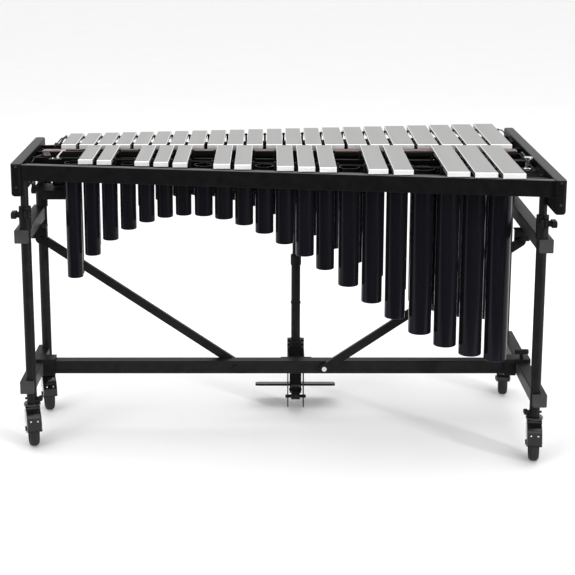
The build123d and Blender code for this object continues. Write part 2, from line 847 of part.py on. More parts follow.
with BuildPart() as crossbar_caps:
    for side, front_y, rear_y, z in crossbar_places:
        for face, leg_y in ((-1, front_y), (1, rear_y)):
            with BuildSketch(
                Plane(
                    origin=(
                        side * (leg_x + crossbar_offset),
                        leg_y + face * crossbar_overhang,
                        z + crossbar_size / 2,
                    ),
                    x_dir=(1, 0, 0),
                    z_dir=(0, face, 0),
                )
            ):
                RectangleRounded(crossbar_size, crossbar_size, 3)
            cap = extrude(amount=crossbar_cap)
            chamfer(cap.faces().sort_by(Axis.Y)[-1 if face > 0 else 0].edges(), 1.0)
save(crossbar_caps.part, "crossbar_caps")

crossbar_inner_x = leg_x + crossbar_offset - crossbar_size / 2
with BuildPart() as stretcher_beam:
    with BuildSketch(
        Plane(origin=(-crossbar_inner_x + 1, 0, beam_mid_z), x_dir=(0, 1, 0), z_dir=(1, 0, 0))
    ):
        RectangleRounded(crossbar_size, crossbar_size, 3)
        Rectangle(crossbar_size - 2 * crossbar_wall, crossbar_size - 2 * crossbar_wall, mode=Mode.SUBTRACT)
    extrude(amount=2 * crossbar_inner_x - 2)
save(stretcher_beam.part, "stretcher_beam")

saddle_thickness = 7.0
saddle_lip = 4.0
socket_half = crossbar_size / 2 + socket_fit + socket_wall
saddle_reach = crossbar_inner_x + crossbar_size
with BuildPart() as beam_sockets:
    for side in (-1, 1):
        with BuildSketch(
            Plane(
                origin=(side * (crossbar_inner_x - socket_length), 0, beam_mid_z),
                x_dir=(0, side, 0),
                z_dir=(side, 0, 0),
            )
        ):
            Rectangle(2 * socket_half, 2 * socket_half)
        extrude(amount=socket_length)
        with BuildSketch(
            Plane(
                origin=(side * ((crossbar_inner_x - socket_length + saddle_reach) / 2), 0, lower_bar_top)
            )
        ):
            Rectangle(saddle_reach - crossbar_inner_x + socket_length, 2 * socket_half)
        extrude(amount=saddle_thickness)
        with BuildSketch(Plane(origin=(side * (saddle_reach + saddle_lip / 2), 0, lower_bar_top - 14))):
            Rectangle(saddle_lip, 2 * socket_half)
        extrude(amount=14 + saddle_thickness)
        with BuildSketch(
            Plane(
                origin=(side * (crossbar_inner_x - socket_length - 1), 0, beam_mid_z),
                x_dir=(0, side, 0),
                z_dir=(side, 0, 0),
            )
        ):
            Rectangle(crossbar_size + 2 * socket_fit, crossbar_size + 2 * socket_fit)
        extrude(amount=socket_length + 1, mode=Mode.SUBTRACT)
    with BuildSketch(Plane(origin=(leg_x + crossbar_offset, 0, lower_bar_top - 1))):
        Circle(4.3)
    extrude(amount=saddle_thickness + 2, mode=Mode.SUBTRACT)
save(beam_sockets.part, "beam_sockets")

brace_head_z = upper_bar_z - brace_head_drop
brace_tilt = degrees(atan((brace_head_z - beam_mid_z) / (brace_head_x - brace_foot_x)))
brace_length = (brace_head_x - brace_foot_x) / cos(radians(brace_tilt))
with BuildPart() as braces:
    for side in (-1, 1):
        # The low brace lies on the beam's front face, the high one on its rear face.
        face_y = -side * crossbar_size / 2
        with BuildSketch(
            Plane(
                origin=(side * brace_foot_x, face_y, beam_mid_z),
                x_dir=(side * cos(radians(brace_tilt)), 0, sin(radians(brace_tilt))),
                z_dir=(0, -side, 0),
            )
        ):
            with Locations((brace_length / 2, 0)):
                SlotCenterToCenter(brace_length, brace_width)
            with Locations((0, 0), (brace_length, 0)):
                Circle(bolt_radius + bolt_fit, mode=Mode.SUBTRACT)
        extrude(amount=brace_thickness)
save(braces.part, "braces")

bracket_thickness = 5.0
bracket_width = 44.0
with BuildPart() as brace_brackets:
    for side in (-1, 1):
        back_y = -side * crossbar_size / 2
        with BuildSketch(
            Plane(
                origin=(side * brace_head_x, back_y, brace_head_z),
                x_dir=(-side, 0, 0),
                z_dir=(0, side, 0),
            )
        ):
            with Locations((-4, brace_head_drop / 2)):
                Rectangle(bracket_width, brace_head_drop)
            Circle(bracket_width / 2 - 6)
            Circle(bolt_radius + bolt_fit, mode=Mode.SUBTRACT)
        extrude(amount=bracket_thickness)
        with BuildSketch(Plane(origin=(side * (brace_head_x + 4), back_y, upper_bar_z))):
            Rectangle(bracket_width, bracket_width)
        extrude(amount=-3)
save(brace_brackets.part, "brace_brackets")

lug_width = 11.0
lug_z = 669.0
lug_height = 24.0
lug_reach = leg_radius + 17.0
screw_y_offset = leg_radius + 9.0
lug_slit = 2.4
with BuildPart() as leg_collars:
    for x, y, face in legs.values():
        with BuildSketch(Plane(origin=(x, y, upper_bar_top))):
            Circle(collar_radius)
        extrude(amount=collar_height)
        with BuildSketch(Plane(origin=(x, y + face * lug_reach / 2, lug_z - lug_height / 2))):
            Rectangle(2 * lug_width, lug_reach)
        extrude(amount=lug_height)
        with BuildSketch(Plane(origin=(x, y, upper_bar_top))):
            Circle(leg_radius)
        extrude(amount=collar_height - collar_grip, mode=Mode.SUBTRACT)
        with BuildSketch(Plane(origin=(x, y, upper_bar_top))):
            Circle(post_radius + post_fit)
        extrude(amount=collar_height, mode=Mode.SUBTRACT)
        with BuildSketch(Plane(origin=(x, y + face * (lug_reach / 2 + 4), collar_top - 38))):
            Rectangle(lug_slit, lug_reach)
        extrude(amount=40, mode=Mode.SUBTRACT)
        with BuildSketch(
            Plane(origin=(x - 20, y + face * screw_y_offset, lug_z), x_dir=(0, 1, 0), z_dir=(1, 0, 0))
        ):
            Circle(knob_screw_radius + knob_screw_fit)
        extrude(amount=40, mode=Mode.SUBTRACT)
save(leg_collars.part, "leg_collars")

with BuildPart() as caster_stems:
    for x, y, face in legs.values():
        with BuildSketch(Plane(origin=(x, y, leg_bottom - head_height))):
            Circle(head_radius)
        head = extrude(amount=head_height)
        chamfer(head.edges().filter_by(GeomType.CIRCLE), 1.5)
        with BuildSketch(Plane(origin=(x, y, leg_bottom))):
            Circle(leg_radius - leg_wall - 0.2)
        extrude(amount=45)
        with BuildSketch(Plane(origin=(x, y, leg_bottom + 12), x_dir=(0, 1, 0), z_dir=(1, 0, 0)).offset(-20)):
            Circle(knob_screw_radius + knob_screw_fit)
        extrude(amount=40, mode=Mode.SUBTRACT)
save(caster_stems.part, "caster_stems")

with BuildPart() as frame_bolts:
    # Brace bolts, with a nut on the far face of what they hold.
    for side in (-1, 1):
        face_y = -side * (crossbar_size / 2 + brace_thickness)
        for x, z, grip in (
            (side * brace_foot_x, beam_mid_z, brace_thickness),
            (side * brace_head_x, brace_head_z, brace_thickness + bracket_thickness),
        ):
            with BuildSketch(Plane(origin=(x, face_y, z), x_dir=(1, 0, 0), z_dir=(0, -side, 0))):
                Circle(bolt_head)
            extrude(amount=bolt_head_height)
            with BuildSketch(
                Plane(origin=(x, face_y - side * bolt_head_height, z), x_dir=(1, 0, 0), z_dir=(0, -side, 0))
            ):
                RegularPolygon(bolt_head * 0.46, 6)
            extrude(amount=-bolt_head_height / 2, mode=Mode.SUBTRACT)
            with BuildSketch(Plane(origin=(x, face_y, z), x_dir=(1, 0, 0), z_dir=(0, side, 0))):
                Circle(bolt_radius)
            extrude(amount=grip)
        for x, z, far_y in (
            (side * brace_head_x, brace_head_z, face_y + side * (brace_thickness + bracket_thickness)),
            (side * brace_foot_x, beam_mid_z, side * crossbar_size / 2),
        ):
            with BuildSketch(Plane(origin=(x, far_y, z), x_dir=(1, 0, 0), z_dir=(0, side, 0))):
                RegularPolygon(nut_radius, 6)
            extrude(amount=nut_height)
    # Nuts of the collar screws and of the caster screws.
    for x, y, face in legs.values():
        inner = -1 if x > 0 else 1
        with BuildSketch(
            Plane(
                origin=(x + inner * lug_width, y + face * screw_y_offset, lug_z),
                x_dir=(0, 1, 0),
                z_dir=(inner, 0, 0),
            )
        ):
            RegularPolygon(nut_radius, 6)
            Circle(knob_screw_radius + knob_screw_fit, mode=Mode.SUBTRACT)
        extrude(amount=nut_height)
save(frame_bolts.part, "frame_bolts")

# ======== Casters ========

fork_top = leg_bottom - head_height - swivel_gap
hood_inner = wheel_width / 2 + hood_gap
hood_outer = hood_inner + hood_thickness
hood_radius = wheel_radius + hood_gap + 3.0
hood_cut_z = 58.0
axle_arm = 12.0

for corner, (x, y, face) in legs.items():
    yaw = caster_yaw[corner]
    # Trails towards the front: u runs along the trail, v along the axle.
    u_dir = Vector(sin(radians(yaw)), -cos(radians(yaw)), 0)
    v_dir = Vector(cos(radians(yaw)), sin(radians(yaw)), 0)
    side_view = Plane(origin=(x, y, 0), x_dir=u_dir, z_dir=-v_dir)
    plan = Plane(origin=(x, y, 0), x_dir=u_dir, z_dir=(0, 0, 1))

    with BuildPart() as fork:
        with BuildSketch(side_view):
            with Locations((caster_trail, wheel_radius)):
                Circle(hood_radius)
            with Locations((0, fork_top - 15)):
                Rectangle(2 * head_radius - 4, 30)
            with Locations((caster_trail, 0)):
                Rectangle(4 * hood_radius, 2 * hood_cut_z, mode=Mode.SUBTRACT)
            with Locations((0, fork_top + 20)):
                Rectangle(6 * hood_radius, 40, mode=Mode.SUBTRACT)
            with BuildLine():
                Polyline(
                    (caster_trail - 24, hood_cut_z),
                    (caster_trail - axle_arm, wheel_radius),
                    (caster_trail + axle_arm, wheel_radius),
                    (caster_trail + 24, hood_cut_z),
                    close=True,
                )
            make_face()
            with Locations((caster_trail, wheel_radius)):
                Circle(axle_arm)
        extrude(amount=hood_outer, both=True)
        fillet(fork.edges().filter_by(GeomType.CIRCLE).sort_by(SortBy.LENGTH)[-2:], 2.5)
        # The space for the wheel.
        with BuildSketch(side_view):
            with Locations((caster_trail, wheel_radius)):
                Circle(wheel_radius + hood_gap)
            with Locations((caster_trail, wheel_radius / 2)):
                Rectangle(2 * (wheel_radius + hood_gap), wheel_radius)
        extrude(amount=hood_inner, both=True, mode=Mode.SUBTRACT)
        with BuildSketch(side_view):
            with Locations((caster_trail, wheel_radius)):
                Circle(axle_radius)
        extrude(amount=hood_outer + 1, both=True)
        with BuildSketch(side_view.offset(hood_outer)):
            with Locations((caster_trail, wheel_radius)):
                RegularPolygon(7, 6)
        extrude(amount=3)
        with BuildSketch(side_view.offset(-hood_outer)):
            with Locations((caster_trail, wheel_radius)):
                RegularPolygon(7, 6)
        extrude(amount=-3)
        # Ears that hold the brake lever.
        with BuildSketch(side_view):
            with Locations(brake_pivot):
                Circle(6)
            with BuildLine():
                Polyline(
                    (brake_pivot[0] + 12, brake_pivot[1] - 12),
                    (brake_pivot[0] + 12, brake_pivot[1] + 2),
                    (brake_pivot[0], brake_pivot[1] + 6),
                    (brake_pivot[0], brake_pivot[1] - 6),
                    close=True,
                )
            make_face()
            with Locations((caster_trail, wheel_radius)):
                Circle(wheel_radius + hood_gap + 0.5, mode=Mode.SUBTRACT)
        extrude(amount=hood_outer, both=True)
        with BuildSketch(side_view):
            with Locations(brake_pivot):
                Circle(7.5)
        extrude(amount=hood_outer - 4, both=True, mode=Mode.SUBTRACT)
    save(fork.part, f"caster_fork_{corner}")

    with BuildPart() as tyre:
        with BuildSketch(side_view):
            with Locations((caster_trail, wheel_radius)):
                Circle(wheel_radius)
                Circle(wheel_radius - tyre_thickness, mode=Mode.SUBTRACT)
        extrude(amount=wheel_width / 2, both=True)
        fillet(tyre.edges().filter_by(GeomType.CIRCLE).sort_by(SortBy.LENGTH)[-2:], tyre_edge)
    with BuildPart() as hub:
        with BuildSketch(side_view):
            with Locations((caster_trail, wheel_radius)):
                Circle(wheel_radius - tyre_thickness)
        extrude(amount=wheel_width / 2 - 2, both=True)
        for dish in (-1, 1):
            with BuildSketch(side_view.offset(dish * (wheel_width / 2 - 2))):
                with Locations((caster_trail, wheel_radius)):
                    Circle(wheel_radius - tyre_thickness - 5)
                    Circle(11, mode=Mode.SUBTRACT)
            extrude(amount=-dish * 6, mode=Mode.SUBTRACT)
        with BuildSketch(side_view):
            with Locations((caster_trail, wheel_radius)):
                Circle(axle_radius + axle_fit)
        extrude(amount=wheel_width, both=True, mode=Mode.SUBTRACT)
    save(Compound(children=[*tyre.part.solids(), *hub.part.solids()]), f"caster_wheel_{corner}")

    with BuildPart() as brake:
        with BuildSketch(side_view):
            with Locations(brake_pivot):
                Circle(5)
            with BuildLine():
                Polyline(
                    (brake_pivot[0], brake_pivot[1] + 5),
                    (brake_pivot[0] - brake_length, brake_pivot[1] - 4),
                    (brake_pivot[0] - brake_length, brake_pivot[1] - 4 - brake_thickness),
                    (brake_pivot[0], brake_pivot[1] - 3),
                    close=True,
                )
            make_face()
        extrude(amount=hood_outer - 5, both=True)
        with BuildSketch(side_view):
            with Locations((brake_pivot[0] - brake_length, brake_pivot[1] - 4 - brake_thickness / 2)):
                Circle(brake_thickness / 2 + 1)
        extrude(amount=hood_outer - 2, both=True)
    save(brake.part, f"caster_brake_{corner}")

# ======== Clamp knobs ========


def t_knob(place, screw_start, screw_end, hub_start, length, height, depth):
    """A T-handle on its screw. The screw runs along the plane's normal, the handle along its x."""
    with BuildPart() as knob:
        with BuildSketch(place.offset(screw_start)):
            Circle(knob_screw_radius)
        extrude(amount=screw_end - screw_start)
        with BuildSketch(place.offset(hub_start)):
            Circle(height * 0.42)
        extrude(amount=screw_end - hub_start)
        with BuildSketch(place.offset(screw_end)):
            SlotOverall(length, height)
        handle = extrude(amount=depth)
        fillet(handle.faces().sort_by(Axis(place.origin, place.z_dir))[-1].edges(), 2.5)
    return knob.part


for corner, (x, y, face) in legs.items():
    outward = 1 if x > 0 else -1
    with BuildPart() as leg_knob:
        place = Plane(origin=(x, y + face * screw_y_offset, lug_z), x_dir=(0, 1, 0), z_dir=(outward, 0, 0))
        add(t_knob(place, -lug_width - 7, 19.5, lug_width + 0.4, knob_length, knob_height, knob_depth))
    save(leg_knob.part, f"leg_knob_{corner}")
    with BuildPart() as stem_knob:
        place = Plane(origin=(x, y, leg_bottom + 12), x_dir=(0, 1, 0), z_dir=(-outward, 0, 0))
        add(t_knob(place, -leg_radius - 5, 20.0, leg_radius + 0.4, 24.0, 13.0, 10.0))
    save(stem_knob.part, f"stem_knob_{corner}")

with BuildPart() as beam_knob:
    place = Plane(origin=(leg_x + crossbar_offset, 0, lower_bar_top), x_dir=(1, 0, 0), z_dir=(0, 0, 1))
    add(t_knob(place, 0.2, saddle_thickness + 10.0, saddle_thickness + 0.4, 42.0, 13.0, 13.0))
save(beam_knob.part, "beam_knob")

# ======== Pedal, its frame and the pull rod ========

side_plate_in = pedal_plate_gap / 2 - side_plate
guide_bottom = 163.0
guide_top = lower_bar_top + 25.0
guide_radius = tower_radius + 4.0
guide_fit = 0.1
ring_height = 8.0
ring_pitch = 13.0
ring_width = 50.0
pin_radius = 4.0
pivot_radius = 5.0
frame_back_y = tower_y + 32
plate_low_y = pedal_near_y - 8  # the side plates stay clear of the pedal
plate_step_z = pedal_near_z + 30
beam_back_y = crossbar_size / 2
lever_width = 26.0
with BuildPart() as pedal_frame:
    with BuildSketch(Plane(origin=(tower_x, beam_back_y + 2, lower_bar_z))):
        Rectangle(90, 4)
    extrude(amount=crossbar_size)
    for side in (-1, 1):
        plate_x = tower_x + side * (side_plate_in + side_plate / 2)
        with BuildSketch(Plane(origin=(plate_x, 0, 0), x_dir=(0, 1, 0), z_dir=(1, 0, 0))):
            with BuildLine():
                Polyline(
                    (beam_back_y + 1, lower_bar_top),
                    (frame_back_y, lower_bar_top),
                    (frame_back_y, plate_step_z + 20),
                    (plate_low_y, plate_step_z),
                    (plate_low_y, floor_gap),
                    (pedal_pivot_y - 12, floor_gap),
                    (pedal_pivot_y - 12, lower_bar_z - 20),
                    (beam_back_y + 1, lower_bar_z),
                    close=True,
                )
            make_face()
        extrude(amount=side_plate / 2, both=True)
        with BuildSketch(
            Plane(
                origin=(tower_x + side * (side_plate_in - 1), pedal_pivot_y, pedal_pivot_z),
                x_dir=(0, 1, 0),
                z_dir=(side, 0, 0),
            )
        ):
            Circle(pivot_radius + 0.1)
        extrude(amount=side_plate + 3, mode=Mode.SUBTRACT)
    # The guide above the plates steadies the pull tube. Two clamp rings sit on it.
    with BuildSketch(Plane(origin=(tower_x, tower_y, guide_bottom))):
        Rectangle(2 * side_plate_in + 1, 42)
    extrude(amount=lower_bar_top - guide_bottom)
    with BuildSketch(Plane(origin=(tower_x, tower_y, lower_bar_top))):
        Circle(guide_radius)
    extrude(amount=guide_top - lower_bar_top)
    for ring_top in (guide_top, guide_top - ring_pitch):
        with BuildSketch(Plane(origin=(tower_x, tower_y, ring_top - ring_height))):
            Rectangle(ring_width, 18)
            Circle(guide_radius + 2)
        extrude(amount=ring_height)
    with BuildSketch(Plane(origin=(tower_x, tower_y, guide_bottom - 1))):
        Circle(tower_radius + guide_fit)
    extrude(amount=guide_top - guide_bottom + 2, mode=Mode.SUBTRACT)
save(pedal_frame.part, "pedal_frame")

with BuildPart() as pull_tube:
    clevis_top = 106.0
    with BuildSketch(Plane(origin=(tower_x, tower_y, clevis_top))):
        Circle(tower_radius)
    extrude(amount=tower_top - clevis_top)
    with BuildSketch(Plane(origin=(tower_x, tower_y, tower_top))):
        Circle(tower_radius + 2.4)
    collar = extrude(amount=tower_collar_height)
    chamfer(collar.faces().sort_by(Axis.Z)[-1].edges(), 1.5)
    with BuildSketch(Plane(origin=(tower_x, tower_y, tower_top - 120))):
        Circle(tower_radius + 1.6)
    extrude(amount=5)
    with BuildSketch(Plane(origin=(tower_x, tower_y, clevis_top + 60))):
        Circle(rod_radius + rod_fit)
    extrude(amount=tower_top, mode=Mode.SUBTRACT)
    # The clevis straddles the lever and carries its pin.
    clevis_width = lever_width + 9
    with BuildSketch(Plane(origin=(tower_x, tower_y, pedal_pin_z - 9))):
        Rectangle(clevis_width, 18)
    extrude(amount=clevis_top - pedal_pin_z + 9)
    with BuildSketch(Plane(origin=(tower_x, tower_y, pedal_pin_z - 10))):
        Rectangle(lever_width + 1, 28)
    extrude(amount=30, mode=Mode.SUBTRACT)
    with BuildSketch(
        Plane(origin=(tower_x, tower_y, pedal_pin_z), x_dir=(0, 1, 0), z_dir=(1, 0, 0))
    ):
        Circle(pin_radius)
    extrude(amount=clevis_width / 2 + 1.5, both=True)
save(pull_tube.part, "pull_tube")

pedal_tilt = atan((pedal_near_z - pedal_far_z) / (pedal_far_y - pedal_near_y))
pedal_run = (pedal_far_y - pedal_near_y) / cos(pedal_tilt)
with BuildPart() as pedal:
    side_view = Plane(origin=(tower_x, 0, 0), x_dir=(0, 1, 0), z_dir=(1, 0, 0))
    with BuildSketch(side_view):
        with BuildLine():
            Polyline(
                (pedal_pivot_y, pedal_pivot_z + 9),
                (tower_y, pedal_pin_z + 9),
                (pedal_near_y + 8, pedal_near_z - 1),
                (pedal_near_y + 8, pedal_near_z - 12),
                (tower_y, pedal_pin_z - 9),
                (pedal_pivot_y, pedal_pivot_z - 9),
                close=True,
            )
        make_face()
        with Locations((pedal_pivot_y, pedal_pivot_z)):
            Circle(10)
        with Locations((tower_y, pedal_pin_z)):
            SlotCenterToCenter(3.4, 2 * pin_radius + 1.0, mode=Mode.SUBTRACT)
    extrude(amount=lever_width / 2, both=True)
    with BuildSketch(side_view):
        with Locations((pedal_pivot_y, pedal_pivot_z)):
            Circle(pivot_radius)
    extrude(amount=pedal_plate_gap / 2 + 6, both=True)
    with BuildSketch(
        Plane(
            origin=(tower_x, (pedal_near_y + pedal_far_y) / 2, (pedal_near_z + pedal_far_z) / 2),
            x_dir=(1, 0, 0),
            z_dir=(0, sin(pedal_tilt), cos(pedal_tilt)),
        )
    ):
        RectangleRounded(pedal_width, pedal_run, 12)
    plate = extrude(amount=-pedal_thickness)
save(pedal.part, "pedal")
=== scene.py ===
import json
import math

import bmesh
import bpy
from mathutils import Matrix, Vector, noise


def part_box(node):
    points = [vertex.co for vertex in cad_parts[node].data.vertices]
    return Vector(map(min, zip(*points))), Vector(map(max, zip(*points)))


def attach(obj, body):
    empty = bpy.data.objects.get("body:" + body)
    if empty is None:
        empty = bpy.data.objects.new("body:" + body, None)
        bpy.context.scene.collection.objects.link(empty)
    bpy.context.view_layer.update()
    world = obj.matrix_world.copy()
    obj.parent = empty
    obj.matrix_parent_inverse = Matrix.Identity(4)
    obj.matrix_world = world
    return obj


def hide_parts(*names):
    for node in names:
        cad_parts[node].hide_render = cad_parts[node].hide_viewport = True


# The looks of a vibraphone on its rolling frame. Metres, in the CAD's frame: +X low notes, +Y player, +Z up.

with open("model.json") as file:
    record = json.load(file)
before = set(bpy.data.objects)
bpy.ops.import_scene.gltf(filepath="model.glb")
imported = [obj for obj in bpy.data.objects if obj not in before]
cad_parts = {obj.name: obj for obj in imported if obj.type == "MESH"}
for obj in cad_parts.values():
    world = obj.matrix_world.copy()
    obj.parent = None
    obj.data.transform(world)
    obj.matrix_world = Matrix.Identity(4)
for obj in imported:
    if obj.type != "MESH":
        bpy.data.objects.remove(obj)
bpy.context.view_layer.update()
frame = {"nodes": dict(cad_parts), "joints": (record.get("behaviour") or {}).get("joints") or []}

# ---- Driving sizes of what is added here ----
felt_pitch = 0.004  # between the points of the felt's mesh
felt_fuzz = 0.0007  # how far the felt's surface wanders
felt_crown = 0.0016  # how much lower the felt's edges are than its middle
rivet_radius = 0.0026
rivet_spread = 0.0095  # to each side of the hood's middle
rivet_angle = math.radians(38)  # up from level, round the axle
hood_step = 0.0055  # from the tyre to the outside of its hood
spool_flange = 0.0125  # from the spool's end to the cord hook
dimple_radius = 0.0036
dimple_sink = 0.0008  # its foot below the knob's face
plate_thickness = 0.0015
rivet_sink = 0.0002  # a rivet's foot below the hood's outside
hook_radius = 0.0020
guard_radius = 0.0032
stay_radius = 0.0016
anchor_screw_radius = 0.0031
anchor_screw_offset = 0.0075  # to each side of the anchor plate's middle
lever_screw_radius = 0.0024

# ---- Where the materials change on the CAD pieces ----
highlight_edge_depth = 0.0013  # of the painted highlight, a near-white strip round a bar's top
cord_past_bars = 0.012  # how far past the highest accidental its cord turns pale
bolt_head_reach = 0.0115  # from the beam's side to where a brace bolt's head is
tyre_depth = 0.0112


# ================= Materials =================


def new_material(name):
    material = bpy.data.materials.new(name)
    material.use_nodes = True
    nodes = material.node_tree.nodes
    shader = nodes["Principled BSDF"]
    return material, nodes, material.node_tree.links, shader


def object_coordinates(nodes, links, scale):
    """Coordinates in the row frame, stretched along each axis."""
    place = nodes.new("ShaderNodeTexCoord")
    mapping = nodes.new("ShaderNodeMapping")
    mapping.inputs["Scale"].default_value = scale
    links.new(place.outputs["Object"], mapping.inputs["Vector"])
    return mapping.outputs["Vector"]


def noise_field(nodes, links, vector, scale, detail=4.0, roughness=0.55):
    field = nodes.new("ShaderNodeTexNoise")
    field.inputs["Scale"].default_value = scale
    field.inputs["Detail"].default_value = detail
    field.inputs["Roughness"].default_value = roughness
    links.new(vector, field.inputs["Vector"])
    return field.outputs["Fac"]


def colour_between(nodes, links, value, dark, light, low=0.35, high=0.65):
    ramp = nodes.new("ShaderNodeValToRGB")
    ramp.color_ramp.elements[0].position = low
    ramp.color_ramp.elements[1].position = high
    ramp.color_ramp.elements[0].color = (*dark, 1.0)
    ramp.color_ramp.elements[1].color = (*light, 1.0)
    links.new(value, ramp.inputs["Fac"])
    return ramp.outputs["Color"]


def number_between(nodes, links, value, low, high):
    span = nodes.new("ShaderNodeMapRange")
    span.inputs["From Min"].default_value = 0.3
    span.inputs["From Max"].default_value = 0.7
    span.inputs["To Min"].default_value = low
    span.inputs["To Max"].default_value = high
    links.new(value, span.inputs["Value"])
    return span.outputs["Result"]


def bump(nodes, links, shader, value, strength, distance):
    step = nodes.new("ShaderNodeBump")
    step.inputs["Strength"].default_value = strength
    step.inputs["Distance"].default_value = distance
    links.new(value, step.inputs["Height"])
    links.new(step.outputs["Normal"], shader.inputs["Normal"])


def coated(name, dark, light, rough, scale=900.0, stretch=(1, 1, 1), strength=0.12, depth=0.0002, **values):
    """A surface whose colour, roughness and relief all wander with two noises, one fine and one broad."""
    material, nodes, links, shader = new_material(name)
    vector = object_coordinates(nodes, links, stretch)
    fine = noise_field(nodes, links, vector, scale)
    broad = noise_field(nodes, links, vector, scale / 40.0, detail=2.0)
    mixed = nodes.new("ShaderNodeMath")
    mixed.operation = "MULTIPLY_ADD"
    mixed.inputs[1].default_value = 0.45
    links.new(broad, mixed.inputs[0])
    halved = nodes.new("ShaderNodeMath")
    halved.operation = "MULTIPLY"
    halved.inputs[1].default_value = 0.55
    links.new(fine, halved.inputs[0])
    links.new(halved.outputs[0], mixed.inputs[2])
    links.new(colour_between(nodes, links, mixed.outputs[0], dark, light), shader.inputs["Base Color"])
    links.new(number_between(nodes, links, mixed.outputs[0], *rough), shader.inputs["Roughness"])
    bump(nodes, links, shader, fine, strength, depth)
    for socket, value in values.items():
        shader.inputs[socket.replace("_", " ")].default_value = value
    return material


def grey(level, warmth=0.0):
    return (level * (1 + warmth), level, level * (1 - warmth))


# Black coats show little of the white room round them.
DULL = {"Specular_IOR_Level": 0.09}

materials = {
    # Brushed along the bars.
    "bar_top": coated("bar_top", grey(0.315, 0.010), grey(0.37, 0.010), (0.34, 0.46), 300.0,
                      (5.0, 0.10, 1.0), 0.06, 0.0001, Metallic=0.85),
    # Painted light: the bars' end faces get a much paler, less metallic grey than their tops, as if lit from
    # the front.
    "bar_end_painted_light": coated("bar_end_painted_light", grey(0.60), grey(0.68), (0.30, 0.42), 500.0, (1.0, 1.0, 4.0), 0.05, 0.0001,
                      Metallic=0.3),
    # Painted highlight: a near-white, glossy strip on the chamfer round each bar's top.
    "bar_edge_painted_highlight": coated("bar_edge_painted_highlight", grey(0.88), grey(0.95), (0.18, 0.28), 400.0, Metallic=0.6),
    "powder": coated("powder", grey(0.005), grey(0.010), (0.34, 0.46), 1400.0, strength=0.16, **DULL),
    # Painted light: the end panels' tops get a far paler grey than the black sides of the same coat.
    "panel_top_painted_light": coated("panel_top_painted_light", grey(0.048), grey(0.075), (0.62, 0.80), 2200.0, strength=0.35,
                        Specular_IOR_Level=0.25),
    "panel_side": coated("panel_side", grey(0.0025), grey(0.0055), (0.36, 0.50), 1600.0, strength=0.12,
                         Specular_IOR_Level=0.05),
    # Painted highlight: the rails' upward faces get a paler grey than their black sides.
    "rail_top_painted_highlight": coated("rail_top_painted_highlight", grey(0.07), grey(0.11), (0.38, 0.52), 900.0, **DULL),
    "inner_steel": coated("inner_steel", grey(0.035), grey(0.06), (0.38, 0.52), 900.0, **DULL),
    "anodised": coated("anodised", (0.0035, 0.0035, 0.0045), (0.006, 0.006, 0.008), (0.15, 0.20), 240.0,
                       (6.0, 6.0, 0.15), 0.03, 0.0001, Specular_IOR_Level=0.14,
                       Specular_Tint=(0.85, 0.88, 1.0, 1.0)),
    "cap": coated("cap", grey(0.028), grey(0.042), (0.45, 0.60), 1500.0, strength=0.25, **DULL),
    "plastic": coated("plastic", grey(0.005), grey(0.010), (0.36, 0.50), 1100.0, strength=0.18, **DULL),
    "gloss": coated("gloss", grey(0.003), grey(0.006), (0.10, 0.18), 700.0, strength=0.04,
                    Specular_IOR_Level=0.45),
    "tyre": coated("tyre", grey(0.012), grey(0.022), (0.50, 0.66), 1300.0, strength=0.3, **DULL),
    "hub": coated("hub", grey(0.012), grey(0.022), (0.30, 0.44), 900.0, **DULL),
    "bright": coated("bright", grey(0.62), grey(0.78), (0.20, 0.32), 800.0, strength=0.06, Metallic=1.0),
    "turned": coated("turned", grey(0.60, -0.01), grey(0.74, -0.01), (0.22, 0.34), 300.0,
                     (1.0, 1.0, 9.0), 0.08, Metallic=1.0),
    "dark_steel": coated("dark_steel", grey(0.02), grey(0.045), (0.30, 0.45), 900.0, Metallic=0.6),
    "black_steel": coated("black_steel", grey(0.006), grey(0.012), (0.26, 0.40), 900.0, **DULL),
    "cord": coated("cord", grey(0.010), grey(0.022), (0.75, 0.9), 1700.0, strength=0.5, depth=0.0004, **DULL),
    "cord_end": coated("cord_end", grey(0.50, 0.03), grey(0.72, 0.03), (0.7, 0.85), 1700.0, strength=0.5,
                       depth=0.0004),
    "felt": coated("felt", (0.085, 0.045, 0.040), (0.19, 0.115, 0.105), (0.85, 1.0), 1300.0, strength=0.8,
                   depth=0.0008, Sheen_Weight=0.3, Sheen_Roughness=0.6),
    "belt": coated("belt", grey(0.008), grey(0.016), (0.55, 0.7), 1500.0, strength=0.25, **DULL),
    "fan": coated("fan", grey(0.30), grey(0.42), (0.30, 0.45), 900.0, Metallic=0.8),
    "wire": coated("wire", grey(0.05), grey(0.10), (0.35, 0.5), 1500.0, **DULL),
}


def dress(node, base, *rules):
    """Gives a CAD node its material. A rule is (material, test), and a face takes the last it passes."""
    mesh = frame["nodes"][node].data
    mesh.materials.clear()
    mesh.materials.append(materials[base])
    for slot_index, (name, test) in enumerate(rules, 1):
        mesh.materials.append(materials[name])
        for face in mesh.polygons:
            if test(face):
                face.material_index = slot_index
    if not rules:
        for face in mesh.polygons:
            face.material_index = 0


def top_of(node):
    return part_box(node)[1].z


def faces_up(limit=0.5):
    return lambda face: face.normal.z > limit


bar_top_z = top_of("natural_bars")
# The bars' end faces carry the painted light, and the chamfer round their tops the painted highlight.
for row in ("natural_bars", "accidental_bars"):
    dress(
        row,
        "bar_top",
        ("bar_end_painted_light", lambda face: abs(face.normal.y) > 0.9),
        ("bar_edge_painted_highlight", lambda face: face.center.z > bar_top_z - highlight_edge_depth and 0.3 < face.normal.z < 0.95),
    )
# The end panels' upward faces carry the painted light.
for panel in ("end_panel_low", "end_panel_high"):
    dress(panel, "panel_side", ("panel_top_painted_light", faces_up(0.55)))
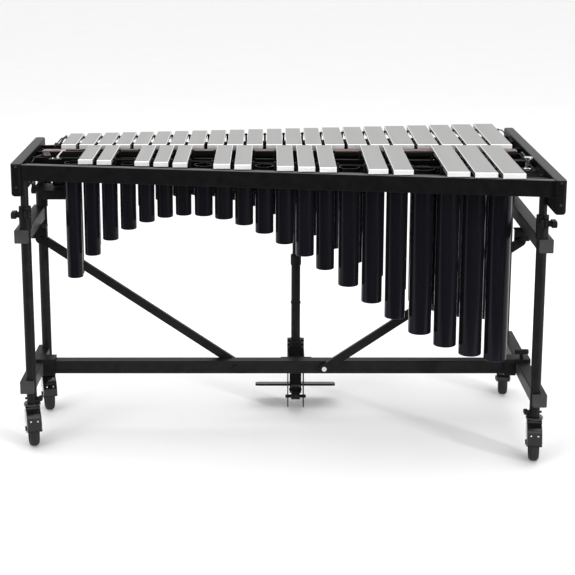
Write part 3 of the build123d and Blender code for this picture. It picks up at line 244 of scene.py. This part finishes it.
# The rails' upward faces carry the painted highlight.
for rail in ("front_rail", "rear_rail"):
    dress(rail, "panel_side", ("rail_top_painted_highlight", faces_up(0.3)))
dress("bar_rails", "panel_side")
dress("bar_supports", "plastic")

# The cord is dark, and pale where the accidentals' loop crosses over beyond the highest bar.
accidental_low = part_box("accidental_bars")[0]
loop_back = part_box("natural_bars")[0].y


def crosses_over(face):
    beyond = face.center.x < accidental_low.x - cord_past_bars
    return beyond and face.center.y < loop_back and abs(face.normal.x) + abs(face.normal.z) > 0.5


dress("bar_cords", "cord", ("cord_end", crosses_over))
dress("front_resonators", "anodised")
dress("rear_resonators", "anodised")
dress("resonator_hangers", "panel_side")
dress("front_fans", "fan")
dress("rear_fans", "fan")
dress("motor", "dark_steel")
dress("motor_pulley", "bright")
dress("drive_belts", "belt")
dress("control_box", "powder")
dress("speed_knob", "plastic")
dress("panel_screws", "dark_steel")
dress("height_posts", "powder")
dress("cord_spool", "turned")
dress("damper_springs", "bright")
# Painted shade: the damper bar, in shadow under the bars, gets the black steel instead of bare aluminium.
dress("damper_bar", "black_steel")
dress("damper_felt", "felt")
dress("damper_rod", "black_steel")
dress("leg_tubes", "powder")
dress(
    "crossbars",
    "powder",
    ("inner_steel", lambda face: abs(face.normal.x) > 0.9 and face.normal.x * face.center.x < 0),
)
dress("crossbar_caps", "cap")
dress("stretcher_beam", "powder")
dress("beam_sockets", "powder")
dress("braces", "powder")
dress("brace_brackets", "powder")
# The bolts' heads on the braces are bright, and their nuts and the rest are dark.
beam_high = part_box("stretcher_beam")[1]


def brace_bolt_head(face):
    past_side = abs(face.center.y) > beam_high.y + bolt_head_reach
    return past_side and abs(face.center.x) < 0.95 * beam_high.x and face.center.y * face.center.x < 0


dress("frame_bolts", "black_steel", ("bright", brace_bolt_head))
dress("leg_collars", "plastic")
dress("caster_stems", "gloss")
dress("pedal_frame", "powder")
dress("pull_tube", "powder")
dress("pedal", "powder")
dress("beam_knob", "plastic")
corners = ("high_front", "high_rear", "low_front", "low_rear")
for corner in corners:
    dress(f"caster_fork_{corner}", "gloss")
    dress(f"caster_brake_{corner}", "gloss")
    wheel_low, wheel_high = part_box(f"caster_wheel_{corner}")
    axle = (wheel_low + wheel_high) / 2
    tyre_inner = (wheel_high.z - wheel_low.z) / 2 - tyre_depth
    dress(
        f"caster_wheel_{corner}",
        "hub",
        ("tyre", lambda face: (face.center - axle).length > tyre_inner),
    )
    dress(f"leg_knob_{corner}", "plastic")
    dress(f"stem_knob_{corner}", "plastic")


# ================= Mesh helpers =================


def finish_piece(name, mesh, body, material, smooth=True):
    """Turns a bmesh into a piece that rides on a body."""
    data = bpy.data.meshes.new(name)
    bmesh.ops.recalc_face_normals(mesh, faces=mesh.faces[:])
    mesh.to_mesh(data)
    mesh.free()
    piece = bpy.data.objects.new(name, data)
    bpy.context.scene.collection.objects.link(piece)
    data.materials.append(materials[material])
    for face in data.polygons:
        face.use_smooth = smooth
    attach(piece, body)
    return piece


def turned_profile(name, body, material, origin, axis, profile, segments=28):
    """A piece turned about an axis from (radius, height) points."""
    mesh = bmesh.new()
    turn = Vector((0, 0, 1)).rotation_difference(Vector(axis)).to_matrix().to_4x4()
    place = Matrix.Translation(origin) @ turn
    rings = []
    for radius, height in profile:
        rings.append(
            [
                mesh.verts.new(
                    place
                    @ Vector(
                        (
                            radius * math.cos(2 * math.pi * k / segments),
                            radius * math.sin(2 * math.pi * k / segments),
                            height,
                        )
                    )
                )
                for k in range(segments)
            ]
        )
    for lower, upper in zip(rings, rings[1:]):
        for k in range(segments):
            mesh.faces.new((lower[k], lower[(k + 1) % segments], upper[(k + 1) % segments], upper[k]))
    mesh.faces.new(rings[0][::-1])
    mesh.faces.new(rings[-1])
    return finish_piece(name, mesh, body, material)


# ================= Damper felt =================


def make_felt():
    """A crowned strip of pressed felt with soft, slightly uneven faces and rounded ends."""
    low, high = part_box("damper_felt")
    length, width, height = high - low
    along = round(length / felt_pitch)
    across = 12
    upright = 4
    mesh = bmesh.new()
    points = {}

    def point(i, j, k):
        key = (i, j, k)
        if key not in points:
            u, v, w = i / along, j / across, k / upright
            place = Vector((low.x + u * length, low.y + v * width, low.z + w * height))
            side = abs(2 * v - 1)
            end = max(0.0, 1 - min(u, 1 - u) * length / 0.006)
            place.z -= w * (felt_crown * side**3 + 0.002 * end**2)
            pull = (1 - math.sqrt(max(0.0, 1 - (2 * w - 1) ** 4 * 0.6))) * 0.0022
            place.y += (1 if v < 0.5 else -1) * pull * (side > 0.99)
            place.x += (1 if u < 0.5 else -1) * pull * (i in (0, along))
            fuzz = noise.noise_vector(place * 260.0) * 0.6 + noise.noise_vector(place * 70.0) * 0.4
            place += fuzz * felt_fuzz - Vector((0, 0, felt_fuzz)) * w
            points[key] = mesh.verts.new(place)
        return points[key]

    for i in range(along):
        for j in range(across):
            for k in (0, upright):
                face = (point(i, j, k), point(i + 1, j, k), point(i + 1, j + 1, k), point(i, j + 1, k))
                mesh.faces.new(face)
    for i in range(along):
        for k in range(upright):
            for j in (0, across):
                face = (point(i, j, k), point(i + 1, j, k), point(i + 1, j, k + 1), point(i, j, k + 1))
                mesh.faces.new(face)
    for j in range(across):
        for k in range(upright):
            for i in (0, along):
                face = (point(i, j, k), point(i, j + 1, k), point(i, j + 1, k + 1), point(i, j, k + 1))
                mesh.faces.new(face)
    felt = finish_piece("felt_strip", mesh, "damper", "felt")
    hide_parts("damper_felt")


make_felt()

# ================= Small fittings =================

DOME = [(1.0, 0.0), (0.96, 0.25), (0.80, 0.55), (0.52, 0.78), (0.15, 0.88)]


def dome(name, body, material, place, axis, radius):
    """A rivet's or a screw's domed head."""
    profile = [(radius * r, radius * h) for r, h in DOME]
    turned_profile(name, body, material, place, axis, profile, segments=16)


def rounded_plate(name, body, material, centre, size, turn=0.0, tilt=0.0, edge=0.0006):
    """A thin plate with softened edges, turned about Z and tilted about its own length."""
    mesh = bmesh.new()
    bmesh.ops.create_cube(mesh, size=1.0)
    bmesh.ops.scale(mesh, vec=size, verts=mesh.verts)
    bmesh.ops.bevel(mesh, geom=mesh.edges[:], offset=edge, segments=2, affect="EDGES")
    place = Matrix.Translation(centre) @ Matrix.Rotation(turn, 4, "Z") @ Matrix.Rotation(tilt, 4, "X")
    bmesh.ops.transform(mesh, matrix=place, verts=mesh.verts)
    return finish_piece(name, mesh, body, material, smooth=False)


def bent_rod(name, body, material, points, radius, sides=12, steps=10):
    """A round rod along a smooth curve through the points."""
    mesh = bmesh.new()
    path = []
    ends = [points[0] * 2 - points[1], *points, points[-1] * 2 - points[-2]]
    for p0, p1, p2, p3 in zip(ends, ends[1:], ends[2:], ends[3:]):
        for k in range(steps):
            t = k / steps
            path.append(
                0.5
                * (
                    2 * p1
                    + (p2 - p0) * t
                    + (2 * p0 - 5 * p1 + 4 * p2 - p3) * t**2
                    + (3 * p1 - p0 - 3 * p2 + p3) * t**3
                )
            )
    path.append(points[-1])
    rings = []
    for k, place in enumerate(path):
        along = (path[min(k + 1, len(path) - 1)] - path[max(k - 1, 0)]).normalized()
        turn = Vector((0, 0, 1)).rotation_difference(along).to_matrix()
        rings.append(
            [
                mesh.verts.new(
                    place
                    + turn
                    @ Vector((math.cos(2 * math.pi * i / sides), math.sin(2 * math.pi * i / sides), 0))
                    * radius
                )
                for i in range(sides)
            ]
        )
    for lower, upper in zip(rings, rings[1:]):
        for i in range(sides):
            mesh.faces.new((lower[i], lower[(i + 1) % sides], upper[(i + 1) % sides], upper[i]))
    mesh.faces.new(rings[0][::-1])
    mesh.faces.new(rings[-1])
    return finish_piece(name, mesh, body, material)


joints = {joint["name"]: joint for joint in frame["joints"]}
for corner in corners:
    # Two rivets on the front of each caster's hood.
    roll = joints[f"wheel_roll_{corner}"]
    axle, across = Vector(roll["pos_m"]), Vector(roll["axis"])
    forward = Vector((across.y, -across.x, 0))
    wheel_low, wheel_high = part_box(f"caster_wheel_{corner}")
    hood_radius = (wheel_high.z - wheel_low.z) / 2 + hood_step
    outward = (forward * math.cos(rivet_angle) + Vector((0, 0, 1)) * math.sin(rivet_angle)).normalized()
    for side in (-1, 1):
        dome(
            f"hood_rivet_{corner}_{'left' if side < 0 else 'right'}",
            f"caster_fork_{corner}",
            "bright",
            axle + outward * (hood_radius - rivet_sink) + across * side * rivet_spread,
            outward,
            rivet_radius,
        )

    # A dimple with a raised rim in the face of each clamp knob.
    knob_low, knob_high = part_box(f"leg_knob_{corner}")
    middle = (knob_low + knob_high) / 2
    out = 1 if middle.x > 0 else -1
    face_x = knob_high.x if out > 0 else knob_low.x
    turned_profile(
        f"knob_dimple_{corner}",
        f"leg_knob_{corner}",
        "dark_steel",
        Vector((face_x - out * dimple_sink, middle.y, middle.z)),
        (out, 0, 0),
        [
            (dimple_radius, 0),
            (dimple_radius, 0.0006),
            (dimple_radius * 0.8, 0.0007),
            (dimple_radius * 0.6, 0.0002),
            (0.0006, 0.0001),
        ],
    )

# The bay beside the highest bars: an anchor plate with its two screws, a lever plate and a cord guard.
panel_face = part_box("end_panel_high")[1].x
rail_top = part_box("bar_rails")[1].z
first_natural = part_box("natural_bars")[0]
felt_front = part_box("damper_felt")[0].y
anchor = Vector((panel_face + 0.072, felt_front - 0.066, rail_top + plate_thickness / 2))
rounded_plate("anchor_plate", "upper_frame", "black_steel", anchor, (0.036, 0.020, plate_thickness))
for name, offset in (("anchor_screw_high", -anchor_screw_offset), ("anchor_screw_low", anchor_screw_offset)):
    place = anchor + Vector((offset, 0.0, plate_thickness / 2))
    dome(name, "upper_frame", "bright", place, (0, 0, 1), anchor_screw_radius)
lever = Vector((panel_face + 0.041, felt_front - 0.020, rail_top + 0.006))
rounded_plate("lever_plate", "upper_frame", "wire", lever, (0.019, 0.022, plate_thickness), 0.35, 0.30)
lever_screw = lever + Vector((0.001, 0, 0.0008))
dome("lever_screw", "upper_frame", "dark_steel", lever_screw, (0, -0.29, 0.95), lever_screw_radius)
guard_x = first_natural.x - 0.0105
bent_rod(
    "cord_guard",
    "upper_frame",
    "black_steel",
    [
        Vector((guard_x - 0.006, felt_front + 0.106, rail_top + 0.013)),
        Vector((guard_x - 0.003, felt_front + 0.150, rail_top + 0.020)),
        Vector((guard_x, felt_front + 0.196, rail_top + 0.021)),
    ],
    guard_radius,
)
turned_profile(
    "guard_nut",
    "upper_frame",
    "dark_steel",
    Vector((guard_x - 0.016, felt_front + 0.086, rail_top)),
    (0, 0, 1),
    [(0.0055, 0), (0.0055, 0.014), (0.0048, 0.0155), (0.003, 0.016), (0.0028, 0.020), (0.0008, 0.0205)],
)
bent_rod(
    "bay_stay",
    "upper_frame",
    "wire",
    [
        Vector((panel_face + 0.002, felt_front - 0.055, rail_top - 0.012)),
        Vector((panel_face + 0.010, felt_front - 0.035, rail_top - 0.001)),
        Vector((panel_face + 0.024, felt_front - 0.014, rail_top + 0.002)),
        Vector((panel_face + 0.034, felt_front - 0.010, rail_top + 0.001)),
    ],
    stay_radius,
)

# The hook that leads the cord to the spool at the low end.
spool_low, spool_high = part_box("cord_spool")
spool_x = spool_low.x + spool_flange
bent_rod(
    "spool_hook",
    "upper_frame",
    "dark_steel",
    [
        Vector((spool_x, spool_high.y + 0.001, spool_high.z - 0.008)),
        Vector((spool_x - 0.002, spool_high.y + 0.052, spool_high.z - 0.004)),
        Vector((spool_x - 0.001, spool_high.y + 0.088, spool_high.z - 0.006)),
        Vector((spool_x + 0.001, spool_high.y + 0.108, spool_high.z - 0.018)),
    ],
    hook_radius,
)

# ================= Camera, light and floor =================

scene = bpy.context.scene

camera_data = bpy.data.cameras.new("camera")
camera_data.sensor_width = 36.0
camera_data.lens = 88.34
camera_data.shift_x = 0.0287
camera_data.shift_y = -0.15
camera_data.dof.use_dof = False
camera = bpy.data.objects.new("camera", camera_data)
camera.location = (-0.025, -3.946, 1.525)
camera.rotation_euler = (math.radians(90 - 12.3045), 0, 0)
scene.collection.objects.link(camera)
scene.camera = camera


def soft_light(name, location, target, size, power):
    data = bpy.data.lights.new(name, "AREA")
    data.shape = "RECTANGLE"
    data.size, data.size_y = size
    data.energy = power
    light = bpy.data.objects.new(name, data)
    light.location = location
    light.rotation_euler = (Vector(target) - Vector(location)).to_track_quat("-Z", "Y").to_euler()
    scene.collection.objects.link(light)


soft_light("overhead", (0.2, 0.6, 4.0), (0, 0, 0.5), (4.5, 3.5), 70)
soft_light("front_left", (-4.4, -4.9, 2.4), (0, 0, 0.5), (2.6, 2.6), 130)
soft_light("right_strip", (5.9, -5.4, 1.45), (0, 0, 0.6), (0.30, 3.0), 420)

world = bpy.data.worlds.new("studio")
world.use_nodes = True
world.node_tree.nodes["Background"].inputs["Color"].default_value = (1.0, 1.0, 1.0, 1.0)
world.node_tree.nodes["Background"].inputs["Strength"].default_value = 0.98
scene.world = world
scene.view_settings.view_transform = "Standard"


def level_sheet(name, low, high, height, material):
    """A flat sheet of the studio, which isn't part of the object."""
    mesh = bmesh.new()
    outline = ((low[0], low[1]), (high[0], low[1]), (high[0], high[1]), (low[0], high[1]))
    mesh.faces.new([mesh.verts.new((x, y, height)) for x, y in outline])
    data = bpy.data.meshes.new(name)
    mesh.to_mesh(data)
    mesh.free()
    sheet = bpy.data.objects.new(name, data)
    scene.collection.objects.link(sheet)
    data.materials.append(material)
    return sheet


floor_material = coated(
    "floor", grey(0.93), grey(0.95), (0.8, 0.95), 3.0, strength=0.0, Specular_IOR_Level=0.1
)
level_sheet("floor", (-60, -60), (60, 60), 0.0, floor_material)

# A dark card that only shiny surfaces see, in front of the object: it keeps the black tubes black.
card_material = coated(
    "card", grey(0.004), grey(0.006), (0.8, 0.95), 3.0, strength=0.0, Specular_IOR_Level=0.0
)
card = level_sheet("dark_card", (-7, -12), (7, -0.95), 0.003, card_material)
card.visible_camera = False
card.visible_diffuse = False
card.visible_shadow = False
